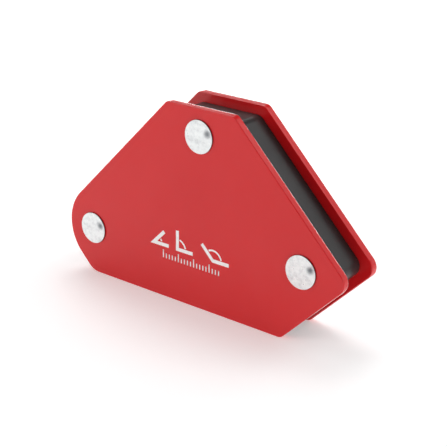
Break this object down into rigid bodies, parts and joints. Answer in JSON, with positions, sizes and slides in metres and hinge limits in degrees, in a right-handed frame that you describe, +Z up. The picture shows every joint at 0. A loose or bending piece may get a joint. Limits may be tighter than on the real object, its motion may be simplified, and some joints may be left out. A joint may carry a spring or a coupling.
{
  "type": "welding magnet holder",
  "caption": "Six-sided magnetic welding holder: painted steel plates riveted over a black moulded core with ferrite magnets, for clamping steel at 45, 90 and 135 degrees.",
  "frame": {"origin": "on the surface that the bottom edges stand on, under the middle of the length and of the thickness", "axes": "+X along the length, towards the small-radius corner; +Y through the thickness, away from the front plate; +Z up"},
  "size_m": [0.0874, 0.015, 0.0521],
  "materials": {
    "red_paint": "glossy powder coat on mild steel sheet",
    "black_moulding": "satin moulded plastic",
    "ferrite": "dull sintered ceramic",
    "sleeve_steel": "bright turned steel",
    "rivet_metal": "satin zinc plate, mottled where the head was pressed"
  },
  "bodies": {
    "root": {"front_plate": "red_paint", "rear_plate": "red_paint", "core_frame": "black_moulding", "magnet_left": "ferrite", "magnet_right": "ferrite", "magnet_top": "ferrite", "spacer_sleeve_left": "sleeve_steel", "spacer_sleeve_top": "sleeve_steel", "spacer_sleeve_right": "sleeve_steel", "rivet_left": "rivet_metal", "rivet_top": "rivet_metal", "rivet_right": "rivet_metal"}
  },
  "joints": []
}
